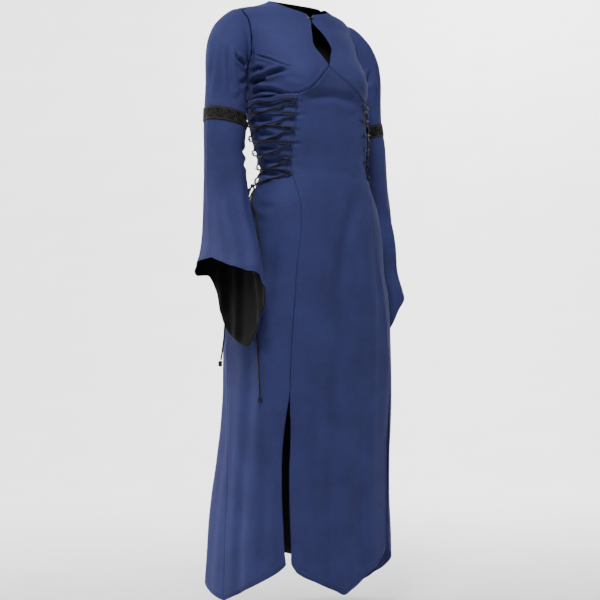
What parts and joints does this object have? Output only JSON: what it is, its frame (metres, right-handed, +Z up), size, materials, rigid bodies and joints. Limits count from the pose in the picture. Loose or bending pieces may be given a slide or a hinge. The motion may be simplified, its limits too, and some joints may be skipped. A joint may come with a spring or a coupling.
{
  "type": "dress",
  "caption": "Ankle-length dress with a keyhole neck, bell sleeves, laced sides and two front slits, stored hollow as it is worn.",
  "frame": {"origin": "between the shoulders, level with the neck points, where the wearer's shoulders hold the dress up", "axes": "+Z up the standing wearer, -Y to the wearer's front, +X to the wearer's left"},
  "size_m": [0.5742, 0.3765, 1.4161],
  "materials": {
    "dress_cloth": "matte dark blue cotton twill",
    "lining": "matte black woven lining",
    "woven_band": "jacquard band, black with bronze scrolls",
    "lacing_cord": "braided black cord",
    "thread_loop": "self-cloth cord and buttonhole thread",
    "hook_steel": "bent wire, lightly worn"
  },
  "bodies": {
    "root": {"front_panel": "dress_cloth", "bodice_front_right": "dress_cloth", "side_panel_right": "dress_cloth", "bodice_front_left": "dress_cloth", "side_panel_left": "dress_cloth", "back_panel": "dress_cloth", "lining_neck": "lining", "lining_skirt": "lining", "sleeve_upper_right": "dress_cloth", "sleeve_band_right": "woven_band", "sleeve_lower_right": "dress_cloth", "cuff_lining_right": "lining", "lace_loop_right_front_1": "thread_loop", "lace_loop_right_front_2": "thread_loop", "lace_loop_right_front_3": "thread_loop", "lace_loop_right_front_4": "thread_loop", "lace_loop_right_front_5": "thread_loop", "lace_loop_right_front_6": "thread_loop", "lace_loop_right_back_1": "thread_loop", "lace_loop_right_back_2": "thread_loop", "lace_loop_right_back_3": "thread_loop", "lace_loop_right_back_4": "thread_loop", "lace_loop_right_back_5": "thread_loop", "lace_loop_right_back_6": "thread_loop", "lace_right_under": "lacing_cord", "lace_right_over": "lacing_cord", "lace_knot_right": "lacing_cord", "bow_right": "lacing_cord", "tail_right_back": "lacing_cord", "end_knot_right_back": "lacing_cord", "tail_right_front": "lacing_cord", "end_knot_right_front": "lacing_cord", "sleeve_upper_left": "dress_cloth", "sleeve_band_left": "woven_band", "sleeve_lower_left": "dress_cloth", "cuff_lining_left": "lining", "lace_loop_left_front_1": "thread_loop", "lace_loop_left_front_2": "thread_loop", "lace_loop_left_front_3": "thread_loop", "lace_loop_left_front_4": "thread_loop", "lace_loop_left_front_5": "thread_loop", "lace_loop_left_front_6": "thread_loop", "lace_loop_left_back_1": "thread_loop", "lace_loop_left_back_2": "thread_loop", "lace_loop_left_back_3": "thread_loop", "lace_loop_left_back_4": "thread_loop", "lace_loop_left_back_5": "thread_loop", "lace_loop_left_back_6": "thread_loop", "lace_left_under": "lacing_cord", "lace_left_over": "lacing_cord", "lace_knot_left": "lacing_cord", "bow_left": "lacing_cord", "tail_left_back": "lacing_cord", "end_knot_left_back": "lacing_cord", "tail_left_front": "lacing_cord", "end_knot_left_front": "lacing_cord", "neck_hook": "hook_steel", "neck_eye": "thread_loop"}
  },
  "joints": []
}
